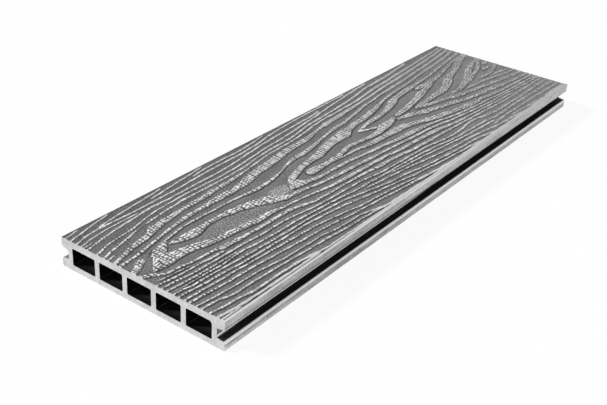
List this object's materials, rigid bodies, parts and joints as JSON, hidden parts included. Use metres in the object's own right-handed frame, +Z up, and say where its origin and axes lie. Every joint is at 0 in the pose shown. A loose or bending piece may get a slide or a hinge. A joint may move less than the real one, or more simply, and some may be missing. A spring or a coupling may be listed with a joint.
{
  "type": "decking board",
  "caption": "Hollow wood-plastic composite decking board with a raised wood-grain walking face, inner chambers and a clip groove along each long edge.",
  "frame": {"origin": "centre of the underside", "axes": "+X across the board, +Y along its length, +Z up, out of the walking face"},
  "size_m": [0.146, 0.5, 0.024],
  "materials": {
    "composite": "grey wood-plastic composite, embossed and brushed, with light raised grain"
  },
  "bodies": {
    "root": {"decking_board": "composite"}
  },
  "joints": []
}
